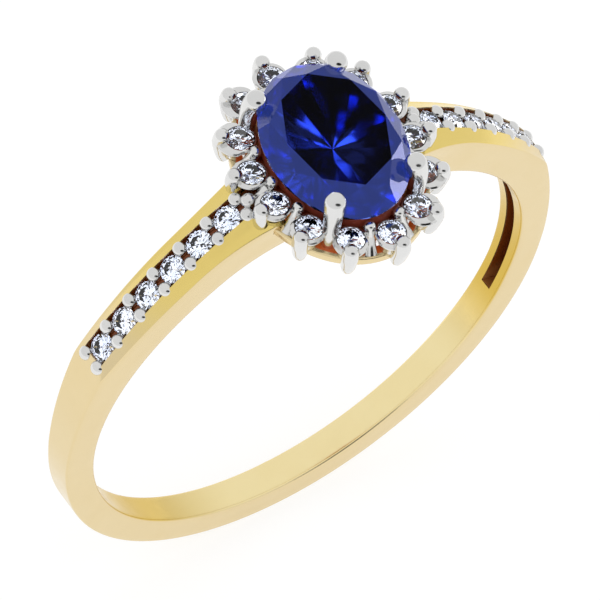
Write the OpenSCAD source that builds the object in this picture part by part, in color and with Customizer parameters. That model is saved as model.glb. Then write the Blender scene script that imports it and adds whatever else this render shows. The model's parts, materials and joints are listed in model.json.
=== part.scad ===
// Halo engagement ring: an oval sapphire in four claws, fourteen halo diamonds in claws
// and beads, and six bead-set diamonds in a channel along each shoulder.
// Millimetres. The origin is the centre of the finger bore, the bore runs along Y,
// the head is on +Z and the shoulders run along X.

/* [Finger bore] */
// Inside diameter, which is the ring size
bore_d = 16.5; // [16.3:0.1:16.7]

/* [Shank] */
// Width of the band behind the finger
band_w = 1.12; // [1.06:0.02:1.2]
// Radius of the round outside of the band
band_r = 9.33; // [9.28:0.01:9.38]
// Height of the centre of that outside above the centre of the bore
band_rise = 0.1; // [0.05:0.01:0.15]
// Radius of the flatter arc that carries the outside from the band up to the shoulder
heel_r = 14.33; // [14.1:0.01:14.5]
// Radius of the long arc along the top of each shoulder
shoulder_r = 14.58; // [14.5:0.02:14.7]
// How far the centre of that arc lies past the middle of the ring
shoulder_past = 3.67; // [3.6:0.01:3.7]
// How far the centre of that arc lies below the centre of the bore
shoulder_below = 3.23; // [3.18:0.01:3.25]
// Width of the shoulder where it starts to flare into the head
shoulder_w = 1.81; // [1.78:0.01:1.84]
// Angle from the top of the ring to the part of the shoulder that its width is laid out from
taper_angle = 50; // [48:1:52]
// Distance from there, towards the head, at which the shoulder starts to flare
flare_at = 2.4; // [2.3:0.05:2.5]
// Distance from there, towards the band, at which the shoulder has come down to the band's width
taper_at = 6.5; // [6.2:0.1:6.6]
// Fall of the lands beside the channel, as a share of the distance from the channel
land_fall = 0.55; // [0.45:0.01:0.6]
// Distance from the middle at which each shoulder stops against the basket
arm_end_x = 2.42; // [2.3:0.02:2.5]
// Thickness of the bridge that closes the bore under the head
bridge_wall = 0.55; // [0.45:0.05:0.6]

/* [Shoulder stones] */
// Diamonds along each shoulder
shoulder_count = 6; // [5:1:6]
// Diameter of each small diamond, on the shoulders and in the halo
melee_d = 0.9; // [0.86:0.01:0.92]
// Pitch of the shoulder diamonds, as an angle about the shoulder arc's centre
shoulder_pitch = 4.68; // [4.6:0.01:4.7]
// Angle of the first shoulder diamond about the shoulder arc's centre
shoulder_first = 31.5; // [31.4:0.1:31.7]
// Width of the channel that the shoulder diamonds lie in
channel_w = 0.92; // [0.92:0.01:0.96]
// Depth of the channel floor below the top of the shoulder
channel_deep = 0.24; // [0.22:0.01:0.26]
// Diameter of the beads that hold the shoulder diamonds
bead_d = 0.46; // [0.42:0.01:0.48]
// Distance of each row of beads from the middle of the channel
bead_y = 0.34; // [0.33:0.01:0.36]
// Width of the slot that hollows the inside of each side of the shank
slot_w = 0.44; // [0.4:0.01:0.5]
// Depth of that slot
slot_deep = 0.65; // [0.5:0.01:0.7]
// Angle from the top of the ring at which the slot ends, below the shoulder
slot_end = 110; // [100:1:112]

/* [Centre stone] */
// Short axis of the oval sapphire
stone_x = 4.57; // [4.5:0.01:4.6]
// Long axis of the oval sapphire
stone_y = 6.14; // [6.0:0.01:6.2]
// Height of its girdle above the centre of the bore
stone_z = 10.7; // [10.65:0.01:10.75]
// Turn of the oval in its claws, seen from above
stone_turn = -10; // [-12:1:0]
// Height of the crown above the girdle
stone_crown = 0.6; // [0.5:0.01:0.7]
// Depth of the pavilion below the girdle
stone_pavilion = 1.66; // [1.5:0.01:1.68]

/* [Halo] */
// Diamonds in the halo
halo_count = 14; // [14:1:14]
// Half the short axis of the line through the halo diamonds
halo_x = 2.66; // [2.64:0.01:2.7]
// Half the long axis of the line through the halo diamonds
halo_y = 3.41; // [3.38:0.01:3.44]
// Height of the tables of the halo diamonds
halo_z = 10.04; // [10.0:0.01:10.06]
// Width of the ledge that carries the halo on the shoulders
plate_w = 0.95; // [0.9:0.01:1.0]
// Thickness of the plate inside the line of halo diamonds
plate_t = 0.42; // [0.36:0.01:0.46]
// Radius of the collet round each halo diamond, at its top
collet_r = 0.52; // [0.5:0.01:0.54]
// Radius of the collet at its foot
collet_foot_r = 0.34; // [0.3:0.01:0.36]
// Radius of the outer claw of each halo diamond
claw_r = 0.25; // [0.2:0.01:0.26]
// Radius of the rounded tip of that claw
claw_bulb_r = 0.28; // [0.26:0.01:0.3]

/* [Basket] */
// Height of the top of the lower rail above the centre of the bore
rail_z = 9.2; // [9.15:0.01:9.25]
// Height of the lower rail
rail_h = 0.32; // [0.26:0.01:0.34]
// Half the short axis of the line through the centre claws
claw_x = 1.58; // [1.56:0.01:1.6]
// Half the long axis of the line through the centre claws
claw_y = 2.33; // [2.3:0.01:2.36]
// Height of the middle of the rounded tip of a centre claw
claw_tip_z = 11.14; // [11.1:0.01:11.2]
// Diameter of a centre claw at its tip
claw_tip_d = 0.74; // [0.7:0.01:0.76]
// Diameter of a centre claw at its foot
claw_foot_d = 0.54; // [0.5:0.01:0.56]

/* [Hidden] */

$fn = 96;
fine = 192;
plain = 48;
small = 32;
bore_r = bore_d / 2;
melee_r = melee_d / 2;
bead_r = bead_d / 2;
gold = "#E4CE84";
white_gold = "#E6E6E4";
diamond = "#DCE6F2";
sapphire = "#1A2C9C";

// Cuts run past the metal by this much
past = 1;
// Extra room around a stone where metal is cut for it
ease = 0.01;
// Side of a block that takes in the whole ring
block = 60;
// Steps along curved outlines
steps = 96;
flare_steps = 8;
taper_steps = 14;

// Small diamonds, in shares of their radius
melee_table = 0.56;
melee_crown = 0.13;
melee_pavilion = 0.37;
melee_girdle = 0.02;
seat_r = 0.36;

// Ends of the channel and place of the bead beside the head, in pitches
channel_lead = 0.9;
channel_tail = 0.34;
junction_lead = 0.76;
channel_from = shoulder_first - channel_lead * shoulder_pitch;
channel_to = shoulder_first + (shoulder_count - channel_tail) * shoulder_pitch;
junction_angle = shoulder_first - junction_lead * shoulder_pitch;
slot_start = 34;

// Shape of the taper, and of the flare beside the head
taper_power = 1.2;
flare = 0.028;
flare_end = 7;

// The plate's top is this far below the girdles; its edges and wall lie inside the line of stones
girdle_over = 0.1;
plate_top = halo_z - melee_crown - girdle_over;
plate_bottom = plate_top - plate_t;
plate_out = 0.1;
plate_in = 0.68;
wall_out = 0.5;
collet_foot_in = 0.22;

// Outer claws, inner beads and their struts, by distance from the line of stones
claw_foot_out = 0.5;
claw_reach = 0.62;
claw_drop = 0.08;
inner_bead_in = 0.38;
inner_bead_r = 0.21;
inner_bead_drop = 0.02;
strut_r = 0.15;

// A shoulder bead's stem in shares of its radius, and how far its middle stands over the channel's edge
bead_stem = 0.8;
bead_over = 0.04;
junction_over = 0.1;
// Gaps between halo diamonds k and k + 1 that hold a bead; the others hold a centre claw
bead_gaps = [1, 3, 4, 5, 7, 8, 10, 11, 12, 14];
rail_in = 0.16;
rail_out = 0.3;
stone_girdle = 0.12;
stone_table = 0.74;

// Short wall under the centre stone: how far its foot lies below the girdle, its height, how far
// its outside lies inside the girdle's outline, and its thickness
seat_below = 0.95;
seat_h = 0.62;
seat_in = 0.2;
seat_w = 0.4;

// Half the width of the shank, u past the part that the widths are laid out from
function half_w(u) =
    u > taper_at ? band_w / 2
    : u > -flare_at
        ? shoulder_w / 2
            - (shoulder_w - band_w) / 2 * ((u + flare_at) / (taper_at + flare_at)) ^ taper_power
    : shoulder_w / 2 + flare * (u + flare_at) ^ 2;

// Where the bore meets the ends of the bridge, along the same line
bridge_u = bore_r * sin(asin(arm_end_x / bore_r) - taper_angle);

// Ellipse point and outward normal at the parameter t, counted from -Y towards +X
function oval_at(a, b, t) = [a * sin(t), -b * cos(t)];
function oval_out(a, b, t) = let (n = [b * sin(t), -a * cos(t)]) n / norm(n);
function oval(a, b, off) = [
    for (i = [0:steps - 1]) let (t = 360 * i / steps) oval_at(a, b, t) + off * oval_out(a, b, t)
];

// The parameters that space stones evenly along the halo's line
halo_lengths = [
    for (i = 0, s = 0; i <= 360; i = i + 1,
        s = s + norm(oval_at(halo_x, halo_y, i) - oval_at(halo_x, halo_y, i - 1))) s
];
function halo_t(share) = lookup(share * halo_lengths[360], [for (i = [0:360]) [halo_lengths[i], i]]);
function halo_slot(k) = halo_t(((k - 8 + halo_count) % halo_count) / halo_count);
function halo_between(k) = halo_t(((k - 7.5 + halo_count) % halo_count) / halo_count);
function halo_point(t, off) = oval_at(halo_x, halo_y, t) + off * oval_out(halo_x, halo_y, t);

// Faceted stone: eight-fold brilliant with axes 2a and 2b, its girdle top at z = 0
function ring_of(n, first, a, b, z) = [
    for (i = [0:n - 1]) let (t = first + 360 * i / n) [a * cos(t), b * sin(t), z]
];
module brilliant(a, b, table, crown, girdle, pavilion) {
    mid = (1 + table) / 2;
    low = 0.24;
    off = cos(22.5);
    mid_z = crown * (1 - mid * off) / (1 - table);
    low_z = -girdle - pavilion * (1 - low * off);
    points = concat(
        ring_of(8, 0, a * table, b * table, crown),
        ring_of(8, 22.5, a * mid, b * mid, mid_z),
        ring_of(16, 0, a, b, 0),
        ring_of(16, 0, a, b, -girdle),
        ring_of(8, 22.5, a * low, b * low, low_z),
        [[0, 0, -girdle - pavilion], [0, 0, crown]]
    );
    culet = 56;
    middle = 57;
    faces = [
        for (k = [0:7]) let (
            n = (k + 1) % 8,
            b4 = (k + 7) % 8,
            g0 = 16 + 2 * k,
            g1 = 17 + 2 * k,
            g2 = 16 + 2 * n
        ) each [
            [middle, n, k],
            [k, n, 8 + k],
            [k, 8 + k, g0],
            [k, g0, 8 + b4],
            [8 + k, g1, g0],
            [8 + k, g2, g1],
            [g0, g1, g1 + 16],
            [g0, g1 + 16, g0 + 16],
            [g1, g2, g2 + 16],
            [g1, g2 + 16, g1 + 16],
            [g0 + 16, g1 + 16, 48 + k],
            [g1 + 16, g2 + 16, 48 + k],
            [48 + k, culet, g0 + 16],
            [48 + b4, g0 + 16, culet]
        ]
    ];
    polyhedron(points, faces, convexity = 4);
}

module melee() {
    brilliant(melee_r, melee_r, melee_table, melee_crown, melee_girdle, melee_pavilion);
}

// Round rod from one point to another
module rod(from, to, r) {
    run = to - from;
    translate(from)
        rotate([0, acos(run[2] / norm(run)), atan2(run[1], run[0])])
            cylinder(h = norm(run), r = r, $fn = small);
}

// Puts its children on the top of a shoulder, side 1 for +X and -1 for -X, looking outward
module on_shoulder(side, angle, deep) {
    turn = side * angle;
    translate([-side * shoulder_past, 0, -shoulder_below])
        rotate([0, turn, 0])
            translate([0, 0, shoulder_r - deep])
                children();
}

// Solid between two radii and two angles from +Z, on one side, about the Y axis
module sector(side, r0, r1, from, to, width) {
    turn = (to - from) / 4;
    rotate([90, 0, 0])
        linear_extrude(height = width, center = true)
            difference() {
                intersection() {
                    circle(r = r1, $fn = fine);
                    polygon([
                        [0, 0],
                        for (i = [0:4]) let (a = from + i * turn) block * [side * sin(a), cos(a)]
                    ]);
                }
                circle(r = r0, $fn = fine);
            }
}

// The same about the centre of a shoulder's arc
module shoulder_sector(side, r0, r1, from, to, width) {
    translate([-side * shoulder_past, 0, -shoulder_below])
        sector(side, r0, r1, from, to, width);
}

// Solid of revolution about the centre of a shoulder's arc, whose edges fall away from the channel
module shoulder_round(side) {
    reach = channel_w / 2;
    far = reach + 2 * past;
    low = shoulder_r - land_fall * (far - reach);
    translate([-side * shoulder_past, 0, -shoulder_below])
        rotate([90, 0, 0])
            rotate_extrude($fn = fine)
                polygon([
                    [0, -far],
                    [low, -far],
                    [shoulder_r, -reach],
                    [shoulder_r, reach],
                    [low, far],
                    [0, far]
                ]);
}

module heel_round(side) {
    translate([side * (band_r - heel_r), 0, 0])
        rotate([90, 0, 0])
            cylinder(r = heel_r, h = block, center = true, $fn = fine);
}

module band_round() {
    translate([0, 0, band_rise])
        rotate([90, 0, 0])
            cylinder(r = band_r, h = block, center = true, $fn = fine);
}

// One side of the ring, as wide as the shank, within a box from x0 outward and from z0 to z1
module shank_slab(side, x0, z0, z1) {
    us = [
        for (i = [0:flare_steps]) -flare_end + i * (flare_end - flare_at) / flare_steps,
        for (i = [1:taper_steps]) -flare_at + i * (taper_at + flare_at) / taper_steps,
        block / 2
    ];
    edge = [for (u = us) [u, half_w(u)]];
    far = [for (i = [len(us) - 1:-1:0]) [us[i], -half_w(us[i])]];
    mirror([side < 0 ? 1 : 0, 0, 0])
        intersection() {
            rotate([0, taper_angle, 0])
                linear_extrude(height = 2 * block, center = true)
                    polygon(concat(edge, far));
            translate([x0, -block / 2, z0])
                cube([block / 2, block, z1 - z0]);
        }
}

module shank_blank() {
    bridge_w = 2 * half_w(bridge_u);
    intersection() {
        union() {
            shank_slab(-1, arm_end_x, 0, block / 2);
            shank_slab(1, arm_end_x, 0, block / 2);
            translate([-arm_end_x, -bridge_w / 2, 0])
                cube([2 * arm_end_x, bridge_w, block / 2]);
        }
        shoulder_round(-1);
        shoulder_round(1);
        heel_round(-1);
        heel_round(1);
    }
    intersection() {
        union() {
            shank_slab(-1, 0, -block / 2, 0);
            shank_slab(1, 0, -block / 2, 0);
        }
        band_round();
    }
}

module shank() {
    color(gold)
        difference() {
            shank_blank();
            rotate([90, 0, 0])
                cylinder(r = bore_r, h = block, center = true);
            // room for the basket over the bridge
            intersection() {
                translate([-arm_end_x, -block / 2, 0])
                    cube([2 * arm_end_x, block, block]);
                rotate([90, 0, 0])
                    difference() {
                        cylinder(r = block, h = block, center = true);
                        cylinder(r = bore_r + bridge_wall, h = block + past, center = true);
                    }
            }
            // ledges for the halo plate and the lower rail
            translate([0, 0, plate_bottom])
                linear_extrude(height = block)
                    polygon(oval(halo_x, halo_y, plate_w / 2));
            rail_blank();
            for (k = [4, 5, 11, 12]) {
                halo_claw_blank(k);
                collet_blank(k);
            }
            for (side = [-1, 1]) {
                // channel for the stones, and the slot inside
                shoulder_sector(side, shoulder_r - channel_deep, shoulder_r + past,
                    channel_from, channel_to, channel_w);
                sector(side, bore_r - past, bore_r + slot_deep, slot_start, slot_end, slot_w);
                for (i = [0:shoulder_count - 1])
                    on_shoulder(side, shoulder_first + i * shoulder_pitch, channel_deep + past)
                        cylinder(r = seat_r, h = 2 * past, $fn = small);
            }
        }
}

module rail_blank() {
    oval_band(rail_out, -rail_in, rail_z - rail_h, rail_z);
}

module gallery_rail() {
    color(gold)
        difference() {
            rail_blank();
            for (sx = [-1, 1], sy = [-1, 1])
                centre_claw_blank(sx, sy);
        }
}

// Band between two distances from the line of stones
module oval_band(out, in, from, to) {
    translate([0, 0, from])
        linear_extrude(height = to - from)
            difference() {
                polygon(oval(halo_x, halo_y, out));
                polygon(oval(halo_x, halo_y, in));
            }
}

// Plate behind the stones, and the wall that hangs from its inner edge to the rail's level
module halo_plate() {
    color(gold)
        difference() {
            union() {
                oval_band(-plate_out, -plate_in, plate_bottom, plate_top);
                oval_band(-wall_out, -plate_in, rail_z - rail_h, plate_top);
            }
            for (sx = [-1, 1], sy = [-1, 1])
                centre_claw_blank(sx, sy);
            for (k = [1:halo_count])
                collet_blank(k);
            for (k = bead_gaps)
                halo_bead_blank(k);
        }
}

module stone_blank() {
    translate([0, 0, stone_z])
        rotate([0, 0, stone_turn])
            brilliant(stone_x / 2, stone_y / 2, stone_table, stone_crown, stone_girdle,
                stone_pavilion - stone_girdle);
}

module stone_seat() {
    color(gold)
        difference() {
            translate([0, 0, stone_z - seat_below])
                linear_extrude(height = seat_h)
                    difference() {
                        polygon(oval(stone_x / 2, stone_y / 2, -seat_in));
                        polygon(oval(stone_x / 2, stone_y / 2, -seat_in - seat_w));
                    }
            stone_blank();
            for (sx = [-1, 1], sy = [-1, 1])
                centre_claw_blank(sx, sy);
        }
}

module centre_sapphire() {
    color(sapphire)
        stone_blank();
}

module centre_claw_blank(sx, sy) {
    foot_z = rail_z - rail_h;
    translate([sx * claw_x, sy * claw_y, 0]) {
        translate([0, 0, foot_z])
            cylinder(r1 = claw_foot_d / 2, r2 = claw_tip_d / 2, h = claw_tip_z - foot_z, $fn = plain);
        translate([0, 0, claw_tip_z])
            sphere(r = claw_tip_d / 2, $fn = plain);
    }
}

module centre_claw(sx, sy) {
    color(white_gold)
        difference() {
            centre_claw_blank(sx, sy);
            stone_blank();
            for (k = [1:halo_count])
                halo_room(k);
        }
}

module halo_diamond(k) {
    color(diamond)
        translate([each halo_point(halo_slot(k), 0), halo_z - melee_crown])
            melee();
}

// Room that the metal around a halo diamond is cut back to
module halo_room(k) {
    translate([each halo_point(halo_slot(k), 0), plate_top])
        cylinder(r = melee_r + ease, h = past, $fn = plain);
}

// Cone under one halo diamond; it stands on the rail, or on the ledge of a shoulder
function over_shoulder(k) = k == 4 || k == 5 || k == 11 || k == 12;
module collet_blank(k) {
    foot_z = over_shoulder(k) ? plate_bottom : rail_z;
    translate([each halo_point(halo_slot(k), 0), foot_z])
        cylinder(r1 = collet_foot_r, r2 = collet_r, h = plate_top - foot_z, $fn = plain);
}

module collet_bore(k) {
    slope = (seat_r - collet_foot_in) / (plate_top - rail_z);
    translate([each halo_point(halo_slot(k), 0), rail_z - ease])
        cylinder(
            r1 = collet_foot_in - slope * ease,
            r2 = seat_r + slope * ease,
            h = plate_top - rail_z + 2 * ease,
            $fn = plain
        );
}

module halo_claw_blank(k) {
    t = halo_slot(k);
    foot = halo_point(t, claw_foot_out);
    tip = [each halo_point(t, claw_reach), halo_z - claw_drop];
    rod([each foot, rail_z - rail_h], tip, claw_r);
    translate(tip)
        sphere(r = claw_bulb_r, $fn = small);
}

module halo_claw(k) {
    color(white_gold)
        difference() {
            union() {
                halo_claw_blank(k);
                collet_blank(k);
            }
            collet_bore(k);
            halo_room(k);
            rail_blank();
            for (sx = [-1, 1], sy = [-1, 1])
                centre_claw_blank(sx, sy);
        }
}

module bead(r, h) {
    cylinder(r = bead_stem * r, h = h, $fn = small);
    translate([0, 0, h])
        sphere(r = r, $fn = small);
}

// Bead on a strut that leans in from the rail, or from the shoulder beside the head
module halo_bead_blank(k) {
    t = halo_between(k);
    foot_z = over_shoulder(k) && over_shoulder(k + 1) ? plate_bottom : rail_z;
    tip = [each halo_point(t, -inner_bead_in), halo_z - inner_bead_drop];
    rod([each halo_point(t, 0), foot_z], tip, strut_r);
    translate(tip)
        sphere(r = inner_bead_r, $fn = small);
}

module halo_beads() {
    color(white_gold)
        for (k = bead_gaps)
            difference() {
                halo_bead_blank(k);
                halo_room(k);
                halo_room(k % halo_count + 1);
                collet_blank(k);
                collet_blank(k % halo_count + 1);
                rail_blank();
            }
}

module shoulder_diamond(side, i) {
    color(diamond)
        on_shoulder(side, shoulder_first + (i - 1) * shoulder_pitch, melee_crown)
            melee();
}

// The metal on both sides of the channel, which the beads stand over
module channel_sides(side) {
    first = channel_from - shoulder_pitch;
    last = channel_to + shoulder_pitch;
    difference() {
        shoulder_round(side);
        shoulder_sector(side, shoulder_r - 2 * past, shoulder_r + past, first, last, channel_w);
    }
}

module shoulder_beads(side) {
    color(white_gold) {
        for (i = [0:shoulder_count], row = [-1, 1])
            difference() {
                on_shoulder(side, shoulder_first + (i - 0.5) * shoulder_pitch, channel_deep)
                    translate([0, row * bead_y, 0])
                        bead(bead_r, channel_deep + bead_over);
                for (j = [i - 1, i])
                    on_shoulder(side, shoulder_first + j * shoulder_pitch, channel_deep)
                        cylinder(r = melee_r + ease, h = past, $fn = plain);
                channel_sides(side);
                for (k = side < 0 ? [4, 5] : [11, 12])
                    halo_claw_blank(k);
            }
        difference() {
            on_shoulder(side, junction_angle, channel_deep)
                bead(bead_r, channel_deep + junction_over);
            for (k = side < 0 ? [4, 5] : [11, 12])
                collet_blank(k);
        }
    }
}

shank();
gallery_rail();
halo_plate();
stone_seat();
centre_sapphire();
centre_claw(-1, -1);  // claw_front_left
centre_claw(1, -1);  // claw_front_right
centre_claw(-1, 1);  // claw_back_left
centre_claw(1, 1);  // claw_back_right
halo_diamond(1);  // halo_diamond_01
halo_diamond(2);  // halo_diamond_02
halo_diamond(3);  // halo_diamond_03
halo_diamond(4);  // halo_diamond_04
halo_diamond(5);  // halo_diamond_05
halo_diamond(6);  // halo_diamond_06
halo_diamond(7);  // halo_diamond_07
halo_diamond(8);  // halo_diamond_08
halo_diamond(9);  // halo_diamond_09
halo_diamond(10);  // halo_diamond_10
halo_diamond(11);  // halo_diamond_11
halo_diamond(12);  // halo_diamond_12
halo_diamond(13);  // halo_diamond_13
halo_diamond(14);  // halo_diamond_14
halo_claw(1);  // halo_claw_01
halo_claw(2);  // halo_claw_02
halo_claw(3);  // halo_claw_03
halo_claw(4);  // halo_claw_04
halo_claw(5);  // halo_claw_05
halo_claw(6);  // halo_claw_06
halo_claw(7);  // halo_claw_07
halo_claw(8);  // halo_claw_08
halo_claw(9);  // halo_claw_09
halo_claw(10);  // halo_claw_10
halo_claw(11);  // halo_claw_11
halo_claw(12);  // halo_claw_12
halo_claw(13);  // halo_claw_13
halo_claw(14);  // halo_claw_14
halo_beads();
shoulder_beads(-1);  // shoulder_beads_left
shoulder_beads(1);  // shoulder_beads_right
shoulder_diamond(-1, 1);  // shoulder_diamond_left_1
shoulder_diamond(-1, 2);  // shoulder_diamond_left_2
shoulder_diamond(-1, 3);  // shoulder_diamond_left_3
shoulder_diamond(-1, 4);  // shoulder_diamond_left_4
shoulder_diamond(-1, 5);  // shoulder_diamond_left_5
shoulder_diamond(-1, 6);  // shoulder_diamond_left_6
shoulder_diamond(1, 1);  // shoulder_diamond_right_1
shoulder_diamond(1, 2);  // shoulder_diamond_right_2
shoulder_diamond(1, 3);  // shoulder_diamond_right_3
shoulder_diamond(1, 4);  // shoulder_diamond_right_4
shoulder_diamond(1, 5);  // shoulder_diamond_right_5
shoulder_diamond(1, 6);  // shoulder_diamond_right_6
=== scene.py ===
"""Looks for the halo engagement ring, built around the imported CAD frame."""
import json
import math

import bmesh
import bpy
from mathutils import Matrix, Vector


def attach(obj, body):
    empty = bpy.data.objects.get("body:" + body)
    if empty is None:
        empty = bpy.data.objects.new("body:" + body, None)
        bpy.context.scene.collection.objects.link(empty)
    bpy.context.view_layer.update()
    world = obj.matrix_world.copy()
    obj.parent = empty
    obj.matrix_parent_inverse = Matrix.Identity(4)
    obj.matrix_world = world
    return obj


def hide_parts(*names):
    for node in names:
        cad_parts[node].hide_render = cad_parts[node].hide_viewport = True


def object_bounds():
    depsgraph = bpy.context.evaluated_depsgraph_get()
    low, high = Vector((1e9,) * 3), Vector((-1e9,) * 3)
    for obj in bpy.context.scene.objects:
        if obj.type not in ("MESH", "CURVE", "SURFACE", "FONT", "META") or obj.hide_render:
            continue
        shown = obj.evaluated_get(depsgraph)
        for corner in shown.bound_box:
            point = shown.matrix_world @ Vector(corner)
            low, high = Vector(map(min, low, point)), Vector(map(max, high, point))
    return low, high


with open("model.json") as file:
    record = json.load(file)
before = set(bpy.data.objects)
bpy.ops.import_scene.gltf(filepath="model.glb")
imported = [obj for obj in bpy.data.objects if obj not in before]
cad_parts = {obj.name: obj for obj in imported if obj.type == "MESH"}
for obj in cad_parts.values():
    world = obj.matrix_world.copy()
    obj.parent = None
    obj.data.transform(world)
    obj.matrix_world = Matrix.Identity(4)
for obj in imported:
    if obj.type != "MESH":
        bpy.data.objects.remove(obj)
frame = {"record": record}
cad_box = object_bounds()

MM = 0.001
BORE_R = frame["record"]["mounts"][0]["dims"]["r_mm"]

# Shank, in millimetres
BAND_W = 1.12
BAND_R = 9.33
BAND_RISE = 0.1
HEEL_R = 14.33
SHOULDER_R = 14.58
SHOULDER_PAST = 3.67
SHOULDER_BELOW = 3.23
SHOULDER_W = 1.81
TAPER_ANGLE = 50
TAPER_AT = 6.5
FLARE_AT = 2.4
LAND_FALL = 0.55
# The polished outside lies this far inside the CAD
SKIN = 0.004
ARM_END_X = 2.42
ARM_END_R = 9.6
BRIDGE_WALL = 0.55
CHANNEL_W = 0.92
CHANNEL_DEEP = 0.24
CHANNEL_FROM = 17.2
CHANNEL_TO = 60.6
SLOT_W = 0.44
SLOT_DEEP = 0.65
SLOT_FROM = 34
SLOT_TO = 110

# Stones and beads on the shoulders
SHOULDER_COUNT = 6
SHOULDER_FIRST = 31.5
SHOULDER_PITCH = 4.68
MELEE_R = 0.45
MELEE_TABLE = 0.56
MELEE_CROWN = 0.13
MELEE_GIRDLE = 0.02
MELEE_PAVILION = 0.37
SEAT_R = 0.4
BEAD_R = 0.255
BEAD_STEM = 0.17
BEAD_OVER = 0.12
BEAD_Y = 0.33
SIDES = {"left": -1, "right": 1}

# Centre stone
STONE_X = 4.57
STONE_Y = 6.14
STONE_Z = 10.7
STONE_TURN = -10
STONE_TABLE = 0.74
STONE_CROWN = 0.6
STONE_GIRDLE = 0.12
STONE_PAVILION = 1.54

# Halo and basket
HALO_COUNT = 14
HALO_X = 2.66
HALO_Y = 3.41
HALO_Z = 10.04
PLATE_W = 0.95
PLATE_OUT = 0.1
PLATE_IN = 0.68
WALL_OUT = 0.5
COLLET_R = 0.55
PLATE_TOP = 9.81
PLATE_BOTTOM = 9.39
RAIL_Z = 9.2
RAIL_BOTTOM = RAIL_Z - 0.32
RAIL_IN = 0.16
RAIL_OUT = 0.3
CLAW_X = 1.55
CLAW_Y = 2.28
# Halo stones, counted from the back of the ring round by the left: those whose cup has a wide lip,
# those that stand over a shoulder, and those with a bead after them
WIDE_COLLETS = (2, 3, 9, 10)
OVER_SHOULDERS = (4, 5, 11, 12)
BEAD_GAPS = (1, 3, 4, 5, 7, 8, 10, 11, 12, 14)

# Fineness of the meshes: parts round an oval ring, a drill and a claw
OVAL_PARTS = 144
DRILL_PARTS = 40
CLAW_PARTS = 28
# Radius of the small flat that is left at the pole of a round end
POLE_R = 0.012


# ---------------------------------------------------------------- geometry of the ring

def half_width(angle, radius):
    """Half the width of the shank at an angle from the top of the ring and a radius."""
    taper_power, flare = 1.2, 0.028
    u = radius * math.sin(math.radians(abs(angle) - TAPER_ANGLE))
    if u > TAPER_AT:
        return BAND_W / 2
    if u > -FLARE_AT:
        share = (u + FLARE_AT) / (TAPER_AT + FLARE_AT)
        return SHOULDER_W / 2 - (SHOULDER_W - BAND_W) / 2 * share ** taper_power
    return SHOULDER_W / 2 + flare * (u + FLARE_AT) ** 2


def circle_at(angle, radius, right, up):
    """Distance from the ring's centre to a circle round (right, up), at an angle from the top."""
    s, c = math.sin(math.radians(angle)), math.cos(math.radians(angle))
    along = right * s + up * c
    return along + math.sqrt(radius ** 2 - right ** 2 - up ** 2 + along ** 2)


def shank_outside(angle, y=0.0):
    """Radius of the shank's outside at an angle in degrees from the top of the ring."""
    heel_from, blend = 52, 0.05
    angle = abs(angle)
    if angle > 90:
        return circle_at(angle, BAND_R, 0, BAND_RISE) - SKIN
    heel = circle_at(angle, HEEL_R, BAND_R - HEEL_R, 0)
    arc = circle_at(angle, SHOULDER_R, -SHOULDER_PAST, -SHOULDER_BELOW)
    arc -= LAND_FALL * max(0.0, abs(y) - CHANNEL_W / 2)
    if angle < heel_from:
        return arc - SKIN
    h = max(0.0, min(1.0, 0.5 + 0.5 * (heel - arc) / blend))
    return heel + (arc - heel) * h - blend * h * (1 - h) - SKIN


def oval_point(a, b, t, off=0.0):
    """Point on an ellipse at t in degrees from -Y towards +X, moved outward by off."""
    s, c = math.sin(math.radians(t)), math.cos(math.radians(t))
    n = Vector((b * s, -a * c)).normalized()
    return Vector((a * s, -b * c)) + off * n


def halo_lengths():
    """Length along the oval of the halo's stones, at each degree."""
    points = [oval_point(HALO_X, HALO_Y, t) for t in range(361)]
    lengths = [0.0]
    for before, after in zip(points, points[1:]):
        lengths.append(lengths[-1] + (after - before).length)
    return lengths


HALO_LENGTHS = halo_lengths()


def halo_t(slot):
    """Degree of a place along the halo: whole numbers are stones, halves are gaps."""
    front = HALO_COUNT // 2 + 1
    length = ((slot - front) % HALO_COUNT) / HALO_COUNT * HALO_LENGTHS[-1]
    for t, (low, high) in enumerate(zip(HALO_LENGTHS, HALO_LENGTHS[1:])):
        if low <= length <= high:
            return t + (length - low) / (high - low)


def halo_at(slot, off, z):
    """Point at a place along the halo, off outward and at height z."""
    p = oval_point(HALO_X, HALO_Y, halo_t(slot), off)
    return Vector((p.x, p.y, z))


def on_shoulder(side, angle, height):
    """Matrix in millimetres that stands a shape on the shoulder, its +Z outward."""
    turn = Matrix.Rotation(math.radians(side * angle), 4, "Y")
    base = Matrix.Translation((-side * SHOULDER_PAST, 0, -SHOULDER_BELOW))
    return base @ turn @ Matrix.Translation((0, 0, SHOULDER_R + height))


# ---------------------------------------------------------------- mesh helpers

def smooth(mesh, sharp):
    """Smooth shading, but for edges sharper than an angle in degrees."""
    mesh.shade_smooth()
    mesh.set_sharp_from_angle(angle=math.radians(sharp))


def linked(name, data):
    """Object for a mesh or a camera, in the scene."""
    obj = bpy.data.objects.new(name, data)
    bpy.context.scene.collection.objects.link(obj)
    return obj


def mesh_object(name, verts, faces):
    """Object from points in millimetres."""
    mesh = bpy.data.meshes.new(name)
    mesh.from_pydata([Vector(v) * MM for v in verts], [], faces)
    bm = bmesh.new()
    bm.from_mesh(mesh)
    bmesh.ops.remove_doubles(bm, verts=bm.verts, dist=1e-3 * MM)
    bmesh.ops.recalc_face_normals(bm, faces=bm.faces)
    bm.to_mesh(mesh)
    bm.free()
    smooth(mesh, 35)
    return linked(name, mesh)


def join_parts(parts):
    """One list of points and faces from several."""
    verts, faces = [], []
    for part_verts, part_faces in parts:
        base = len(verts)
        verts.extend(part_verts)
        faces.extend([[base + i for i in face] for face in part_faces])
    return verts, faces


def moved(part, matrix):
    """The same points and faces, with the points moved."""
    return [matrix @ Vector(v) for v in part[0]], part[1]


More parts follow.
